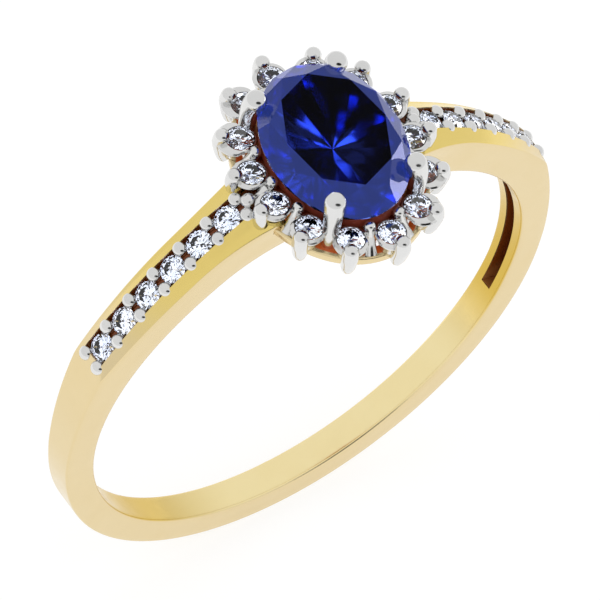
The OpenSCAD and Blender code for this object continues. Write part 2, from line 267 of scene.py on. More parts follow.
def lathe(profile, count):
    """Closed solid of revolution about Z from (radius, height) pairs, bottom to top."""
    verts, rings = [], []
    for r, z in profile:
        if r < 1e-6:
            rings.append([len(verts)])
            verts.append(Vector((0, 0, z)))
            continue
        rings.append(range(len(verts), len(verts) + count))
        for i in range(count):
            a = 2 * math.pi * i / count
            verts.append(Vector((r * math.cos(a), r * math.sin(a), z)))
    faces = []
    for low, high in zip(rings, rings[1:]):
        for i in range(count):
            j = (i + 1) % count
            if len(low) == 1:
                faces.append([low[0], high[j], high[i]])
            elif len(high) == 1:
                faces.append([low[i], low[j], high[0]])
            else:
                faces.append([low[i], low[j], high[j], high[i]])
    if len(rings[0]) > 1:
        faces.append(list(reversed(rings[0])))
    if len(rings[-1]) > 1:
        faces.append(list(rings[-1]))
    return verts, faces


def swept(rings, size):
    """Faces of a surface through closed rings of size points, from the last ring back to the first."""
    faces = []
    for i in range(rings):
        j = (i + 1) % rings
        for k in range(size):
            n = (k + 1) % size
            faces.append([i * size + k, j * size + k, j * size + n, i * size + n])
    return faces


def tube(path, radii, count):
    """Closed tube along points, with a radius at each point and a flat face at each end."""
    verts, faces = [], []
    side = None
    for i, p in enumerate(path):
        ahead = path[min(i + 1, len(path) - 1)] - path[max(i - 1, 0)]
        ahead.normalize()
        if side is None:
            side = ahead.orthogonal().normalized()
        side = (side - ahead * side.dot(ahead)).normalized()
        other = ahead.cross(side)
        for k in range(count):
            a = 2 * math.pi * k / count
            verts.append(p + radii[i] * (math.cos(a) * side + math.sin(a) * other))
    for i in range(len(path) - 1):
        for k in range(count):
            n = (k + 1) % count
            faces.append([i * count + k, i * count + n, (i + 1) * count + n, (i + 1) * count + k])
    faces.append(list(reversed(range(count))))
    faces.append(list(range(len(verts) - count, len(verts))))
    return verts, faces


def domed(points, radii, steps=7):
    """Path and radii of a tube whose last point is the centre of a round end."""
    path, sizes = list(points), list(radii)
    ahead = (points[-1] - points[-2]).normalized()
    r = radii[-1]
    for i in range(1, steps + 1):
        a = math.pi / 2 * i / steps
        path.append(points[-1] + ahead * r * math.sin(a))
        sizes.append(max(r * math.cos(a), POLE_R))
    return path, sizes


def oval_ring(outline, a, b):
    """Ring swept round an ellipse from an outline of (offset outward, height) pairs."""
    verts = []
    for i in range(OVAL_PARTS):
        for off, z in outline:
            p = oval_point(a, b, 360 * i / OVAL_PARTS, off)
            verts.append(Vector((p.x, p.y, z)))
    return verts, swept(OVAL_PARTS, len(outline))


def oval_prism(off, low, high):
    """Upright oval prism, off outside the line of the halo stones."""
    count = OVAL_PARTS
    verts = []
    for z in (low, high):
        for i in range(count):
            p = oval_point(HALO_X, HALO_Y, 360 * i / count, off)
            verts.append(Vector((p.x, p.y, z)))
    faces = [list(reversed(range(count))), list(range(count, 2 * count))]
    for i in range(count):
        j = (i + 1) % count
        faces.append([i, j, count + j, count + i])
    return verts, faces


def rounded_box_outline(x0, x1, z0, z1, r, steps=4):
    """Outline of a rectangle with round corners, as (x, z) pairs."""
    corners = ((x1 - r, z1 - r, 0), (x0 + r, z1 - r, 90), (x0 + r, z0 + r, 180), (x1 - r, z0 + r, 270))
    outline = []
    for cx, cz, start in corners:
        for i in range(steps + 1):
            a = math.radians(start + 90 * i / steps)
            outline.append((cx + r * math.cos(a), cz + r * math.sin(a)))
    return outline


def smooth_path(points, parts=4):
    """Catmull-Rom curve through the points, with parts steps between each two."""
    out = []
    for i in range(len(points) - 1):
        p0, p1, p2 = points[max(i - 1, 0)], points[i], points[i + 1]
        p3 = points[min(i + 2, len(points) - 1)]
        for j in range(parts):
            t = j / parts
            out.append(0.5 * (2 * p1 + (p2 - p0) * t + (2 * p0 - 5 * p1 + 4 * p2 - p3) * t * t
                              + (3 * p1 - p0 - 3 * p2 + p3) * t ** 3))
    out.append(points[-1])
    return out


def spaced(values, count):
    """The values, with straight steps between them, as a list of count numbers."""
    out = []
    for i in range(count):
        x = i / (count - 1) * (len(values) - 1)
        k = min(int(x), len(values) - 2)
        out.append(values[k] + (values[k + 1] - values[k]) * (x - k))
    return out


def wire(points, radii, count=CLAW_PARTS):
    """Curved wire through points, with a radius at each, that ends in a dome."""
    path = smooth_path(points)
    return tube(*domed(path, spaced(radii, len(path))), count)


def cut(obj, cutters):
    """Takes each cutter out of the object's mesh, and removes the cutters."""
    for cutter in cutters:
        mod = obj.modifiers.new("cut", "BOOLEAN")
        mod.operation = "DIFFERENCE"
        mod.solver = "EXACT"
        mod.object = cutter
    bpy.context.view_layer.update()
    deps = bpy.context.evaluated_depsgraph_get()
    mesh = bpy.data.meshes.new_from_object(obj.evaluated_get(deps))
    obj.modifiers.clear()
    old = obj.data
    obj.data = mesh
    mesh.name = old.name
    bpy.data.meshes.remove(old)
    for cutter in cutters:
        bpy.data.objects.remove(cutter)


def finish_piece(obj, materials, node):
    """Gives a piece its materials and its body, and hides the CAD node that it stands for."""
    for material in materials:
        obj.data.materials.append(material)
    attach(obj, "root")
    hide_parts(node)


# ---------------------------------------------------------------- faceted stones

def plane_cut(bm, a, b, c):
    """Cuts away what lies outside the plane through three points, and closes the cut."""
    normal = (b - a).cross(c - a).normalized()
    if normal.dot(a) < 0:
        normal = -normal
    geom = list(bm.verts) + list(bm.edges) + list(bm.faces)
    got = bmesh.ops.bisect_plane(
        bm, geom=geom, dist=1e-7, plane_co=a, plane_no=normal, clear_outer=True
    )
    edges = [e for e in got["geom_cut"] if isinstance(e, bmesh.types.BMEdge)]
    if edges:
        bmesh.ops.contextual_create(bm, geom=edges)


def brilliant(table, crown, girdle, pavilion, sides=96):
    """Eight-fold brilliant of girdle radius 1 with its girdle's top edge at height 0."""
    def at(angle, r, z):
        return Vector((r * math.cos(math.radians(angle)), r * math.sin(math.radians(angle)), z))

    half_step = 22.5
    off = math.cos(math.radians(half_step))
    mid, low = (1 + table) / 2, 0.22
    mid_z = crown * (1 - mid * off) / (1 - table)
    low_z = -girdle - pavilion * (1 - low * off)
    culet = Vector((0, 0, -girdle - pavilion))
    bm = bmesh.new()
    blank_verts, blank_faces = lathe([(1.0, culet.z - 0.1), (1.0, crown + 0.1)], sides)
    points = [bm.verts.new(v) for v in blank_verts]
    for face in blank_faces:
        bm.faces.new([points[i] for i in face])
    plane_cut(bm, at(0, 1, crown), at(90, 1, crown), at(200, 1, crown))
    for k in range(8):
        a = 45 * k
        point, tip = at(a, 1, 0), at(a, table, crown)
        plane_cut(bm, point, tip, tip + at(a + 90, 1, 0))
        star = at(a + half_step, mid, mid_z)
        plane_cut(bm, at(a, table, crown), at(a + 45, table, crown), star)
        plane_cut(bm, star, at(a, 1, 0), at(a + half_step, 1, 0))
        plane_cut(bm, star, at(a + half_step, 1, 0), at(a + 45, 1, 0))
        under = at(a, 1, -girdle)
        plane_cut(bm, under, culet, culet + at(a + 90, 1, 0))
        break_z = at(a + half_step, low, low_z)
        plane_cut(bm, break_z, at(a, 1, -girdle), at(a + half_step, 1, -girdle))
        plane_cut(bm, break_z, at(a + half_step, 1, -girdle), at(a + 45, 1, -girdle))
    bmesh.ops.remove_doubles(bm, verts=bm.verts, dist=1e-5)
    bmesh.ops.recalc_face_normals(bm, faces=bm.faces)
    verts = [v.co.copy() for v in bm.verts]
    faces = [[v.index for v in f.verts] for f in bm.faces]
    bm.free()
    return verts, faces


def stone_object(name, part, matrix, table=False):
    """Stone whose faces take material 0 above, 1 below and 2, where there is one, on the table."""
    verts, faces = moved(part, matrix)
    mesh = bpy.data.meshes.new(name)
    mesh.from_pydata([v * MM for v in verts], [], faces)
    mesh.shade_flat()
    up = matrix.to_3x3().inverted().transposed()
    upward = (up @ Vector((0, 0, 1))).normalized()
    for face in mesh.polygons:
        lean = face.normal.dot(upward)
        face.material_index = 1 if lean < 0.1 else 2 if lean > 0.999 and table else 0
    return linked(name, mesh)


# ---------------------------------------------------------------- materials

PALE_GOLD = (0.785, 0.64, 0.37)
# painted shade: the deeper gold of the lands, picked out by their facing
LAND_SHADE_GOLD = (0.86, 0.67, 0.21)
# painted light and shade in the bore: the lighter gold low on the right, the darker gold on the left and in
# the upper part
BORE_GOLD = (0.97, 0.82, 0.45)
SHADED_BORE_GOLD = (0.68, 0.47, 0.09)
# painted shade in the slot and the channel, lighter low in the ring
HOLLOW_SHADE_GOLD = (0.24, 0.055, 0.006)
HOLLOW_HALF_SHADE_GOLD = (0.6, 0.3, 0.1)
# painted shade and painted flashes for the sapphire's lower facets
PAINTED_STONE_SHADE = (0.012, 0.014, 0.03)
PAINTED_FLASH_BLUE = (0.12, 0.22, 0.85)

# Noise scales, in features per metre
BROAD, MIDDLE, FINE, BRUSHED = 700, 900, 2500, 9000


class Graph:
    """A node tree that short calls add to. A value is a number, three numbers or a socket."""

    def __init__(self, tree):
        self.nodes, self.links = tree.nodes, tree.links
        self.nodes.clear()

    def add(self, kind, **settings):
        node = self.nodes.new("ShaderNode" + kind)
        for name, value in settings.items():
            setattr(node, name, value)
        return node

    def put(self, value, socket):
        if isinstance(value, bpy.types.NodeSocket):
            self.links.new(value, socket)
        elif isinstance(value, tuple):
            socket.default_value = (*value, 1)
        else:
            socket.default_value = value

    def calc(self, operation, *values):
        node = self.add("Math", operation=operation)
        for value, socket in zip(values, node.inputs):
            self.put(value, socket)
        return node.outputs["Value"]

    def product(self, first, *others):
        for other in others:
            first = self.calc("MULTIPLY", first, other)
        return first

    def length(self, a, b):
        return self.calc("SQRT", self.calc("ADD", self.product(a, a), self.product(b, b)))

    def along(self, where, direction):
        """How far a vector socket reaches along a direction."""
        node = self.add("VectorMath", operation="DOT_PRODUCT")
        self.links.new(where, node.inputs[0])
        node.inputs[1].default_value = direction
        return node.outputs["Value"]

    def map_range(self, value, from_low, from_high, to_low, to_high, kind="LINEAR"):
        node = self.add("MapRange", interpolation_type=kind)
        self.put(value, node.inputs["Value"])
        self.put(from_low, node.inputs["From Min"])
        self.put(from_high, node.inputs["From Max"])
        self.put(to_low, node.inputs["To Min"])
        self.put(to_high, node.inputs["To Max"])
        return node.outputs["Result"]

    def step(self, value, start, end):
        """Smooth step from 0 at start to 1 at end, which may run downwards."""
        if start < end:
            return self.map_range(value, start, end, 0, 1, "SMOOTHSTEP")
        return self.map_range(value, end, start, 1, 0, "SMOOTHSTEP")

    def noise(self, scale, detail, stretch=None):
        """Noise over the piece's own space."""
        source = self.add("TexCoord").outputs["Object"]
        if stretch:
            mapping = self.add("Mapping")
            mapping.inputs["Scale"].default_value = stretch
            self.links.new(source, mapping.inputs["Vector"])
            source = mapping.outputs["Vector"]
        return self.noise_over(source, scale, detail)

    def noise_over(self, source, scale, detail):
        texture = self.add("TexNoise")
        self.put(scale, texture.inputs["Scale"])
        self.put(detail, texture.inputs["Detail"])
        self.links.new(source, texture.inputs["Vector"])
        return texture.outputs["Fac"]

    def cloudy(self, scale, detail, low, high):
        """Noise that runs from low to high, with broad flats at both."""
        return self.map_range(self.noise(scale, detail), 0.35, 0.65, low, high)

    def mix(self, share, first, second):
        node = self.add("Mix")
        self.put(share, node.inputs["Factor"])
        self.put(first, node.inputs["A"])
        self.put(second, node.inputs["B"])
        return node.outputs["Result"]

    def mix_colour(self, share, first, second, blend="MIX"):
        node = self.add("Mix", data_type="RGBA", blend_type=blend)
        self.put(share, node.inputs["Factor"])
        # by number, because the node has sockets A and B for each type of value
        self.put(first, node.inputs[6])
        self.put(second, node.inputs[7])
        return node.outputs[2]

    def place(self):
        """x, y and z in millimetres."""
        split = self.add("SeparateXYZ")
        self.links.new(self.add("TexCoord").outputs["Object"], split.inputs["Vector"])
        return [self.product(split.outputs[axis], 1 / MM) for axis in "XYZ"]

    def out_by(self, x, y, half_x, half_y):
        """0 in the middle of an ellipse and 1 on it."""
        return self.length(self.calc("DIVIDE", x, half_x), self.calc("DIVIDE", y, half_y))


def new_material(name, **values):
    """Material, its graph and its shader, with some of the shader's sockets set."""
    material = bpy.data.materials.new(name)
    material.use_nodes = True
    graph = Graph(material.node_tree)
    shader = graph.add("BsdfPrincipled")
    graph.links.new(shader.outputs["BSDF"], graph.add("OutputMaterial").inputs["Surface"])
    for socket, value in values.items():
        graph.put(value, shader.inputs[socket.replace("_", " ")])
    return material, graph, shader.inputs


def polish(graph, sockets, rough_low, rough_high, strength):
    """Uneven roughness, and the faint buffing marks left on polished metal."""
    graph.put(graph.cloudy(FINE, 4, rough_low, rough_high), sockets["Roughness"])
    bump = graph.add("Bump")
    graph.put(strength, bump.inputs["Strength"])
    graph.put(0.02 * MM, bump.inputs["Distance"])
    graph.put(graph.noise(BRUSHED, 4, (1, 0.15, 1)), bump.inputs["Height"])
    graph.put(bump.outputs["Normal"], sockets["Normal"])


def gold_material():
    """Polished gold: pale on the sides, a deeper painted shade on the lands, painted light and shade in the
    bore, painted brown shade in its hollows.
    """
    material, graph, sockets = new_material("yellow_gold")
    between = graph.step
    x, y, z = graph.place()
    aside_x, aside_y = graph.calc("ABSOLUTE", x), graph.calc("ABSOLUTE", y)
    radius = graph.length(x, z)
    # distance from the centre of the shoulder's outside curve
    arc = graph.length(graph.calc("ADD", aside_x, SHOULDER_PAST), graph.calc("ADD", z, SHOULDER_BELOW))
    split = graph.add("SeparateXYZ")
    graph.put(graph.add("TexCoord").outputs["Normal"], split.inputs["Vector"])
    sideways = graph.calc("ABSOLUTE", split.outputs["Y"])

    slot_floor, channel_floor = BORE_R + SLOT_DEEP, BORE_R + 0.7
    slot = graph.product(
        between(radius, BORE_R + 0.01, BORE_R + 0.06),
        between(aside_y, SLOT_W / 2 + 0.006, SLOT_W / 2 + 0.002),
        between(radius, slot_floor + 0.06, slot_floor + 0.02))
    channel = graph.product(
        between(arc, SHOULDER_R - 0.01, SHOULDER_R - 0.08),
        between(aside_y, CHANNEL_W / 2 + 0.006, CHANNEL_W / 2 + 0.002),
        between(radius, channel_floor, channel_floor + 0.05),
        between(z, 4.7, 4.78))
    # painted shade: the lands, picked out by height, distance from the shoulder's curve and facing, take a
    # deeper gold than the sides
    land_shade = graph.product(
        between(z, 5.0, 7.8), between(arc, SHOULDER_R - 0.6, SHOULDER_R - 0.5), between(sideways, 0.85, 0.6))
    bore = between(radius, BORE_R + 0.05, BORE_R + 0.01)
    # painted shade: the bore's left and its part above z -2.5 take the darker gold
    deep = graph.calc("MAXIMUM", between(x, -1.5, -6.0), between(z, -5.6, -2.5))
    hollow = graph.calc("MAXIMUM", slot, channel)

    tone = graph.mix_colour(land_shade, PALE_GOLD, LAND_SHADE_GOLD)
    tone = graph.mix_colour(bore, tone, graph.mix_colour(deep, BORE_GOLD, SHADED_BORE_GOLD))
    # painted shade: brown in the hollows, lighter below z -3.2; the hollows are made less metallic so that
    # the brown takes the light
    hollow_shade = graph.mix_colour(between(z, -2.0, -3.2), HOLLOW_SHADE_GOLD, HOLLOW_HALF_SHADE_GOLD)
    tone = graph.mix_colour(hollow, tone, hollow_shade)
    tone = graph.mix_colour(graph.cloudy(BROAD, 2, 0, 0.25), tone, (0.96, 0.93, 0.84), "MULTIPLY")
    graph.put(tone, sockets["Base Color"])
    graph.put(graph.calc("SUBTRACT", 1, graph.product(hollow, 0.8)), sockets["Metallic"])
    polish(graph, sockets, 0.16, 0.24, 0.04)
    return material


def metal_material(name, light, dark, rough_low, rough_high, marks):
    """Polished metal in two close tones."""
    material, graph, sockets = new_material(name, Metallic=1)
    graph.put(graph.mix_colour(graph.cloudy(BROAD, 2, 0, 1), light, dark), sockets["Base Color"])
    polish(graph, sockets, rough_low, rough_high, marks)
    return material


def shade_material(name, light, dark, glow):
    """Gold in a hollow, painted as dull brown shade, with a glow of painted light for what its hollow throws
    back.
    """
    material, graph, sockets = new_material(name, Emission_Color=light, Emission_Strength=glow)
    graph.put(graph.mix_colour(graph.cloudy(BROAD, 2, 0, 1), light, dark), sockets["Base Color"])
    polish(graph, sockets, 0.5, 0.6, 0)
    return material


def clear_material(name, light, dark, ior, tint=(1, 1, 1), glow=None):
    """The upper facets of a stone, which let light in and out."""
    material, graph, sockets = new_material(
        name, Transmission_Weight=1, IOR=ior, Roughness=0, Specular_Tint=tint)
    graph.put(graph.mix_colour(graph.cloudy(MIDDLE, 2, 0, 1), light, dark), sockets["Base Color"])
    # a glow, where given, is painted light
    if glow:
        graph.put(glow, sockets["Emission Color"])
        graph.put(1, sockets["Emission Strength"])
    return material


def backed_material(name, light, dark):
    """The lower facets of a stone, which send the light back."""
    material, graph, sockets = new_material(name, Metallic=1, Roughness=0)
    graph.put(graph.mix_colour(graph.cloudy(3000, 2, 0, 1), light, dark), sockets["Base Color"])
    return material


def sapphire_back_material():
    """The sapphire's lower facets, a mirror painted dark as painted shade, with painted royal-blue flashes
    in rays that spread from its point.
    """
    material, graph, sockets = new_material("sapphire_back", Metallic=1, Roughness=0.1)
    x, y, _ = graph.place()
    turn = graph.calc("ARCTAN2", y, x)
    cloud = graph.product(graph.noise(MIDDLE, 2), 4)
    narrow = graph.calc("SINE", graph.calc("MULTIPLY_ADD", turn, 7, cloud))
    wide = graph.calc("SINE", graph.calc("MULTIPLY_ADD", turn, 3, 1))
    out_by = graph.out_by(x, y, STONE_X / 2, STONE_Y / 2)
    # painted flashes: rays from the point in the middle, and patches near the girdle
    centre = graph.product(
        graph.step(graph.calc("ADD", narrow, wide), 0.1, 1.2), graph.step(out_by, 0.7, 0.2))
    rim = graph.product(graph.step(graph.noise(1400, 1), 0.5, 0.62), graph.step(out_by, 0.5, 0.8))
    lit = graph.calc("MAXIMUM", centre, rim)
    graph.put(graph.mix_colour(lit, PAINTED_STONE_SHADE, PAINTED_FLASH_BLUE), sockets["Base Color"])
    return material


def rail_material():
    """Polished gold along the outside of the rail; where it lies in the shade of the halo, painted brown
    shade with a faint glow of painted light.
    """
    material, graph, sockets = new_material("gallery_rail", Emission_Strength=1, Roughness=0.22)
    x, y, _ = graph.place()
    out_by = graph.out_by(x, y, HALO_X, HALO_Y)
    grain = graph.product(graph.noise(BROAD, 2), 0.01)
    edge = 1 + RAIL_OUT * 0.55 / HALO_Y
    bright = graph.step(graph.calc("ADD", out_by, grain), edge - 0.004, edge + 0.008)
    # painted shade: brown inside the bright outer strip, and a glow of painted light there
    graph.put(graph.mix_colour(bright, (0.42, 0.08, 0.015), PALE_GOLD), sockets["Base Color"])
    graph.put(graph.mix_colour(bright, (0.16, 0.03, 0.005), (0, 0, 0)), sockets["Emission Color"])
    graph.put(bright, sockets["Metallic"])
    return material


GOLD = (gold_material(),)
PLATE = (metal_material("gold_in_shade", (0.52, 0.25, 0.10), (0.34, 0.13, 0.05), 0.2, 0.35, 0.05),)
# painted shade and painted light: brown gold with a glow, for the basket's hollow and the underside of the
# stone
WALL = (shade_material("gold_wall_painted_shade", (0.5, 0.1, 0.02), (0.42, 0.075, 0.012), 0.5),)
SEAT = (shade_material("gold_under_the_stone_painted_shade", (0.2, 0.03, 0.012), (0.12, 0.016, 0.006), 0.1),)
RAIL = (rail_material(),)
WHITE = (metal_material("white_gold", (0.77, 0.77, 0.76), (0.72, 0.72, 0.715), 0.1, 0.18, 0.04),)
# A stone's materials are for its upper facets, its lower facets and its table
DIAMOND = (
    clear_material("diamond", (1.0, 1.0, 1.0), (0.96, 0.98, 1.0), 2.42),
    backed_material("diamond_back", (0.92, 0.94, 0.98), (0.78, 0.82, 0.92)),
)
# The sapphire's upper facets glow faintly blue: painted light
SAPPHIRE = (
    clear_material(
        "sapphire", (0.24, 0.36, 1.0), (0.18, 0.28, 1.0), 1.77,
        tint=(0.55, 0.57, 1.0), glow=(0.016, 0.03, 0.16)),
    sapphire_back_material(),
    clear_material("sapphire_table", (0.2, 0.3, 1.0), (0.16, 0.25, 1.0), 1.77, tint=(0.08, 0.08, 0.12)),
)


# ---------------------------------------------------------------- the pieces

def shank_section(angle, bridge, channel, slot):
    """Points (radius, y) of the shank's section, from the middle of its outside round."""
    deep = CHANNEL_DEEP if channel else 0.0
    hollow = SLOT_DEEP if slot else 0.0
    ease_out, ease_in, steps = 0.07, 0.1, 4
    c, s = CHANNEL_W / 2, SLOT_W / 2
    wall_end = math.degrees(math.asin(ARM_END_X / BORE_R))

    def out(y):
        return BORE_R + BRIDGE_WALL if bridge else shank_outside(angle, y)

    def w(r):
        return half_width(wall_end, BORE_R) if bridge else half_width(angle, r)

    top = out(0.0)
    edge = w(top) - ease_out
    half = [(top - deep, 0.0), (top - deep, c / 2), (top - deep, c), (top, c)]
    half.append((out((c + edge) / 2), (c + edge) / 2))
    for i in range(steps + 1):
        t = math.pi / 2 * i / steps
        y = edge + ease_out * math.sin(t)
        half.append((out(edge) - ease_out * (1 - math.cos(t)), y))
    low = half[-1][0]
    for share in (0.25, 0.5, 0.75):
        r = low + share * (BORE_R + ease_in - low)
        half.append((r, w(r)))
    for i in range(steps + 1):
        t = math.pi / 2 * i / steps
        r = BORE_R + ease_in * (1 - math.sin(t))
        half.append((r, w(r) - ease_in * (1 - math.cos(t))))
    inner = half[-1][1]
    half += [(BORE_R, (inner + s) / 2), (BORE_R, s), (BORE_R + hollow, s), (BORE_R + hollow, 0.0)]
    return half + [(r, -y) for r, y in reversed(half[1:-1])]


def shank_rings():
    """(angle, bridge, channel, slot) of each section round the ring, in degrees from the top."""
    # two sections never stand closer than this, unless they share an angle
    apart = 0.4
    arm = math.degrees(math.asin(ARM_END_X / ARM_END_R))
    angles = [arm, CHANNEL_FROM, CHANNEL_TO, SLOT_FROM, SLOT_TO]
    angles += [a for a in range(math.ceil(arm), 180) if min(abs(a - x) for x in angles) > apart]
    right = []
    for a in sorted(angles):
        before = (False, CHANNEL_FROM < a <= CHANNEL_TO, SLOT_FROM < a <= SLOT_TO)
        after = (False, CHANNEL_FROM <= a < CHANNEL_TO, SLOT_FROM <= a < SLOT_TO)
        right.append((a, *before))
        if before != after:
            right.append((a, *after))
    foot = (180.0, False, False, False)
    left = [(-a, *rest) for a, *rest in reversed(right)]
    half = (arm - apart) / 2
    bridge = [(i * half, True, False, False) for i in range(-2, 3)]
    return bridge[2:] + right + [foot] + left + bridge[:2]


def point_at(angle, radius, y):
    """Point of the shank at an angle in degrees from the top of the ring."""
    a = math.radians(angle)
    return Vector((radius * math.sin(a), y, radius * math.cos(a)))


def make_shank():
    """Band, shoulders and bridge in one sweep, then the room for the head and the drilled seats."""
    rings = shank_rings()
    verts = []
    for angle, bridge, channel, slot in rings:
        verts.extend(point_at(angle, r, y) for r, y in shank_section(angle, bridge, channel, slot))
    shank = mesh_object("shank_gold", verts, swept(len(rings), len(verts) // len(rings)))
    cutters = [
        mesh_object("ledge", *oval_prism(PLATE_W / 2, PLATE_BOTTOM, PLATE_TOP + 2)),
        mesh_object("rail_room", *oval_ring(
            [(-RAIL_IN, RAIL_BOTTOM), (RAIL_OUT, RAIL_BOTTOM), (RAIL_OUT, RAIL_Z), (-RAIL_IN, RAIL_Z)],
            HALO_X, HALO_Y)),
    ]
    drill = lathe([(SEAT_R - 0.05, -1.3), (SEAT_R, -0.05)], DRILL_PARTS)
    seats = []
    for side in SIDES.values():
        for i in range(SHOULDER_COUNT):
            seats.append(moved(drill, on_shoulder(side, SHOULDER_FIRST + i * SHOULDER_PITCH, 0)))
    cutters.append(mesh_object("seats", *join_parts(seats)))
    cut(shank, cutters)
    smooth(shank.data, 30)
    finish_piece(shank, GOLD, "shank")


def make_rail():
    outline = rounded_box_outline(-RAIL_IN, RAIL_OUT, RAIL_BOTTOM, RAIL_Z, 0.07)
    rail = mesh_object("gallery_rail_gold", *oval_ring(outline, HALO_X, HALO_Y))
    finish_piece(rail, RAIL, "gallery_rail")


def make_plate():
    """Drilled plate under the halo, and the wall that joins it to the rail."""
    outline = rounded_box_outline(-PLATE_IN, -PLATE_OUT, PLATE_BOTTOM, PLATE_TOP, 0.05)
    plate = mesh_object("halo_plate_gold", *oval_ring(outline, HALO_X, HALO_Y))
    drill = lathe([(COLLET_R - 0.12, PLATE_BOTTOM - 0.1), (COLLET_R, PLATE_TOP + 0.1)], DRILL_PARTS)
    holes = [moved(drill, Matrix.Translation(halo_at(k, 0, 0))) for k in range(1, HALO_COUNT + 1)]
    cut(plate, [mesh_object("holes", *join_parts(holes))])
    smooth(plate.data, 30)
    finish_piece(plate, PLATE, "halo_plate")
    # The wall's glowing brown is painted shade, seen through the windows between the claws
    outline = rounded_box_outline(-PLATE_IN, -WALL_OUT, RAIL_BOTTOM, PLATE_TOP - 0.03, 0.04)
    wall = mesh_object("halo_wall_gold", *oval_ring(outline, HALO_X, HALO_Y))
    finish_piece(wall, WALL, "halo_plate")


def make_stone_seat(stone_part):
    """Wall under the stone, cut by the stone a little lowered and enlarged so that they don't meet."""
    outline = rounded_box_outline(-0.6, -0.2, STONE_Z - 0.95, STONE_Z - 0.33, 0.05)
    seat = mesh_object("stone_seat_gold", *oval_ring(outline, STONE_X / 2, STONE_Y / 2))
    room = centre_matrix() @ Matrix.Translation((0, 0, -0.04)) @ Matrix.Scale(1.01, 4)
    cut(seat, [stone_object("room", stone_part, room)])
    # Its glowing dark red-brown is painted shade under the stone
    finish_piece(seat, SEAT, "stone_seat")


def centre_matrix():
    """Stands a stone of radius 1 in the middle of the head."""
    place = Matrix.Translation((0, 0, STONE_Z)) @ Matrix.Rotation(math.radians(STONE_TURN), 4, "Z")
    return place @ Matrix.Diagonal((STONE_X / 2, STONE_Y / 2, 1, 1))


def make_sapphire():
    part = brilliant(STONE_TABLE, STONE_CROWN, STONE_GIRDLE, STONE_PAVILION)
    stone = stone_object("centre_sapphire_cut", part, centre_matrix(), table=True)
    finish_piece(stone, SAPPHIRE, "centre_sapphire")
    return part


def make_centre_claws(stone_part):
    """Claws that widen upward and lean in over the stone, each with the stone cut out of it."""
    names = {(-1, -1): "claw_front_left", (1, -1): "claw_front_right",
             (-1, 1): "claw_back_left", (1, 1): "claw_back_right"}
    for (sx, sy), name in names.items():
        path = [Vector((sx * (CLAW_X + aside), sy * (CLAW_Y + ahead), z)) for aside, ahead, z in (
            (0.06, 0.09, RAIL_BOTTOM + 0.02), (0.07, 0.1, 9.8), (0.07, 0.1, 10.4),
            (0.04, 0.06, 10.8), (-0.02, -0.03, 11.12),
        )]
        claw = mesh_object(name + "_white", *wire(path, (0.27, 0.28, 0.31, 0.345, 0.37), 40))
        cut(claw, [stone_object("room", stone_part, centre_matrix())])
        smooth(claw.data, 40)
        finish_piece(claw, WHITE, name)


def make_melee():
    """The small diamond that the halo and the shoulders repeat."""
    part = brilliant(
        MELEE_TABLE, MELEE_CROWN / MELEE_R, MELEE_GIRDLE / MELEE_R, MELEE_PAVILION / MELEE_R, 48)
    return moved(part, Matrix.Diagonal((MELEE_R, MELEE_R, MELEE_R, 1)))


def make_halo_stones(melee):
    for k in range(1, HALO_COUNT + 1):
        place = Matrix.Translation(halo_at(k, 0, HALO_Z - MELEE_CROWN))
        stone = stone_object("halo_diamond_%02d_cut" % k, melee, place)
        finish_piece(stone, DIAMOND, "halo_diamond_%02d" % k)


def collet(foot, outward, lip):
    """Cup under a halo stone whose rim is wider by lip on the side that faces outward."""
    count = 48
    verts = []
    for i in range(count):
        a = 2 * math.pi * i / count
        more = lip * max(0.0, math.cos(a - outward)) ** 0.5
        profile = [
            (0.3, foot), (0.36 + more / 3, foot + 0.02), (0.45 + more * 0.7, 9.6),
            (COLLET_R - 0.01 + more, 9.78), (COLLET_R + more, 9.84), (COLLET_R - 0.03 + more * 0.9, 9.89),
            (COLLET_R - 0.07, 9.9), (0.44, 9.84), (0.36, 9.66), (0.26, foot + 0.02),
        ]
        verts.extend(Vector((r * math.cos(a), r * math.sin(a), z)) for r, z in profile)
    return verts, swept(count, len(profile))


def make_halo_claws():
    """Each claw with the cup of its stone, joined into one piece."""
    for k in range(1, HALO_COUNT + 1):
        foot = PLATE_BOTTOM if k in OVER_SHOULDERS else RAIL_Z
        out = halo_at(k, 1, 0) - halo_at(k, 0, 0)
        cup = collet(foot, math.atan2(out.y, out.x), 0.24 if k in WIDE_COLLETS else 0.1)
        path = [halo_at(k, off, z) for off, z in (
            (0.44, RAIL_BOTTOM + 0.04), (0.5, RAIL_BOTTOM + 0.3), (0.57, 9.5), (0.61, 9.75), (0.58, 10.0),
        )]
        claw = mesh_object("halo_claw_%02d_white" % k, *join_parts([
            wire(path, (0.2, 0.25, 0.265, 0.275, 0.27)),
            moved(cup, Matrix.Translation(halo_at(k, 0, 0))),
        ]))
        finish_piece(claw, WHITE, "halo_claw_%02d" % k)


def make_halo_beads():
    parts = []
    for k in BEAD_GAPS:
        over_shoulder = k in OVER_SHOULDERS and k + 1 in OVER_SHOULDERS
        foot = PLATE_BOTTOM if over_shoulder else RAIL_Z - 0.05
        path = [halo_at(k + 0.5, off, z) for off, z in (
            (0.08, foot), (-0.12, foot + 0.3), (-0.27, 9.75), (-0.38, 10.0),
        )]
        parts.append(wire(path, (0.24, 0.19, 0.18, 0.215)))
    beads = mesh_object("halo_beads_white", *join_parts(parts))
    finish_piece(beads, WHITE, "halo_beads")


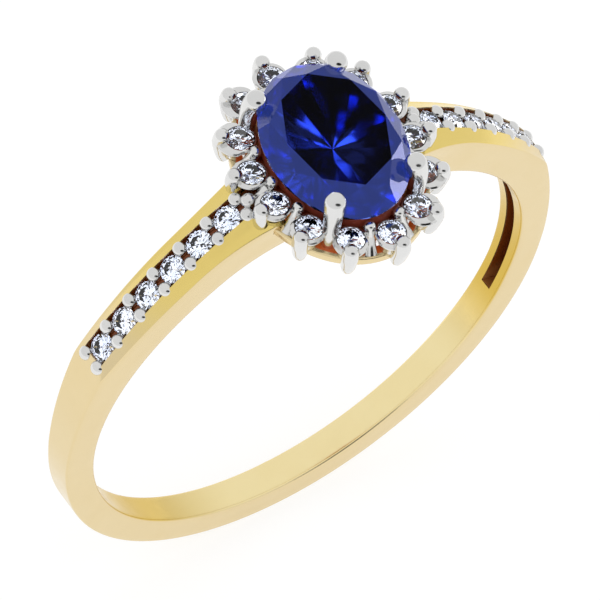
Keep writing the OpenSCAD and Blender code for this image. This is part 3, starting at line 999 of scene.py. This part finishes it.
def bead_profile(r, stem, top):
    """Outline of a bead on a stem: a dome that swells above the metal around it."""
    steps = 16
    centre = top - r
    profile = [(stem, 0.0), (stem, max(centre - 0.8 * r, 0.02))]
    for i in range(3, steps + 1):
        a = math.radians(-90 + 180 * i / steps)
        if r * math.cos(a) > stem or a > 0:
            profile.append((max(r * math.cos(a), 0.0), centre + 0.92 * r * math.sin(a)))
    profile[-1] = (0.0, profile[-1][1])
    return profile


def make_shoulder_stones(melee):
    for word, side in SIDES.items():
        for i in range(SHOULDER_COUNT):
            place = on_shoulder(side, SHOULDER_FIRST + i * SHOULDER_PITCH, -MELEE_CROWN)
            name = "shoulder_diamond_%s_%d" % (word, i + 1)
            stone = stone_object(name + "_cut", melee, place)
            finish_piece(stone, DIAMOND, name)


def make_shoulder_beads():
    bead = lathe(bead_profile(BEAD_R, BEAD_STEM, CHANNEL_DEEP + BEAD_OVER), CLAW_PARTS)
    for word, side in SIDES.items():
        parts = []
        for i in range(SHOULDER_COUNT + 1):
            for row in (-1, 1):
                angle = SHOULDER_FIRST + (i - 0.5) * SHOULDER_PITCH
                place = on_shoulder(side, angle, -CHANNEL_DEEP) @ Matrix.Translation((0, row * BEAD_Y, 0))
                parts.append(moved(bead, place))
        # the single bead at the junction with the halo
        angle = SHOULDER_FIRST - 0.76 * SHOULDER_PITCH
        parts.append(moved(bead, on_shoulder(side, angle, -CHANNEL_DEEP + 0.08)))
        beads = mesh_object("shoulder_beads_%s_white" % word, *join_parts(parts))
        finish_piece(beads, WHITE, "shoulder_beads_%s" % word)


# ---------------------------------------------------------------- studio

# Directions of the picture's right and up, and from the ring to the camera
VIEW_RIGHT = Vector((0.82625, -0.55367, 0.10372))
VIEW_UP = Vector((0.40793, 0.71509, 0.56766))
VIEW_BACK = Vector((-0.38847, -0.42671, 0.81671))
# Cards that the stones' upper facets see: direction, and reach in degrees
CARDS = (
    (Vector((0.383, 0.888, -0.19)), 13),
    (Vector((0.843, 0.44, -0.39)), 17),
    (Vector((0.986, -0.169, 0.093)), 17),
)
# Strengths of the light on what is neither a mirror nor clear, and behind the ring
SOFT, BACKDROP = 1.0, 1.05


def lobe(graph, where, direction, inner, outer):
    """1 within inner degrees of a direction, falling smoothly to 0 at outer degrees."""
    near = graph.along(where, direction.normalized())
    return graph.step(near, math.cos(math.radians(outer)), math.cos(math.radians(inner)))


def dark_card(graph, where):
    """1 in an oval patch low on the camera's right, 0 outside it."""
    right, up, half_right, half_up = 0.4, -0.34, 0.42, 0.24
    x = graph.calc("SUBTRACT", graph.along(where, VIEW_RIGHT), right)
    y = graph.calc("SUBTRACT", graph.along(where, VIEW_UP), up)
    far = graph.out_by(x, y, half_right, half_up)
    return graph.product(graph.step(far, 1.1, 0.8), lobe(graph, where, VIEW_BACK, 60, 75))


def make_world():
    """A white studio. Polished metal, the stones' faces and their insides each see their own cards."""
    world = bpy.data.worlds.new("studio")
    bpy.context.scene.world = world
    world.use_nodes = True
    graph = Graph(world.node_tree)
    where = graph.add("TexCoord").outputs["Generated"]
    ray = graph.add("LightPath").outputs

    metal = graph.calc("MULTIPLY_ADD", dark_card(graph, where), -1.05, 1.08)
    faces = 0.4
    for direction, reach in CARDS:
        faces = graph.calc("MULTIPLY_ADD", lobe(graph, where, direction, reach, reach + 5), 6.5, faces)
    cells = graph.step(graph.noise_over(where, 9, 1), 0.38, 0.44)
    inside = graph.calc("MULTIPLY_ADD", cells, 2.4, 0.08)

    value = graph.mix(ray["Is Singular Ray"], metal, faces)
    value = graph.mix(ray["Is Transmission Ray"], value, inside)
    value = graph.mix(ray["Is Diffuse Ray"], value, SOFT)
    value = graph.mix(ray["Is Camera Ray"], value, BACKDROP)
    light = graph.add("Background")
    graph.put(value, light.inputs["Strength"])
    graph.put(light.outputs["Background"], graph.add("OutputWorld").inputs["Surface"])


def make_floor(bottom):
    """Square floor under the ring, pale all over and a little darker near what stands on it."""
    half = 0.12
    corners = [(-half, -half, bottom), (half, -half, bottom), (half, half, bottom), (-half, half, bottom)]
    mesh = bpy.data.meshes.new("floor")
    mesh.from_pydata(corners, [], [(0, 1, 2, 3)])
    material, graph, sockets = new_material(
        "floor", Roughness=0.8, Specular_IOR_Level=0, Emission_Color=(1, 1, 1), Emission_Strength=0.76)
    tone = graph.mix_colour(graph.cloudy(60, 2, 0, 1), (0.36, 0.36, 0.36), (0.34, 0.34, 0.34))
    graph.put(tone, sockets["Base Color"])
    mesh.materials.append(material)
    linked("floor", mesh)


def make_camera():
    """Long lens that looks at the head and the near side of the band."""
    data = bpy.data.cameras.new("camera")
    data.sensor_width = 36
    data.lens = 600
    data.clip_start, data.clip_end = 0.01, 20
    frame_width = 19.38 * MM
    distance = frame_width * data.lens / data.sensor_width
    aim = (0.032 * VIEW_RIGHT + 1.046 * VIEW_UP) * MM
    turn = Matrix((VIEW_RIGHT, VIEW_UP, VIEW_BACK)).transposed().to_4x4()
    camera = linked("camera", data)
    camera.matrix_world = Matrix.Translation(aim + VIEW_BACK * distance) @ turn
    bpy.context.scene.camera = camera


make_camera()
make_shank()
make_rail()
make_plate()
stone_part = make_sapphire()
make_stone_seat(stone_part)
make_centre_claws(stone_part)
melee_part = make_melee()
make_halo_stones(melee_part)
make_halo_claws()
make_halo_beads()
make_shoulder_stones(melee_part)
make_shoulder_beads()
make_world()
make_floor(cad_box[0].z)
scene = bpy.context.scene
scene.view_settings.view_transform = "Standard"
scene.cycles.use_denoising = True
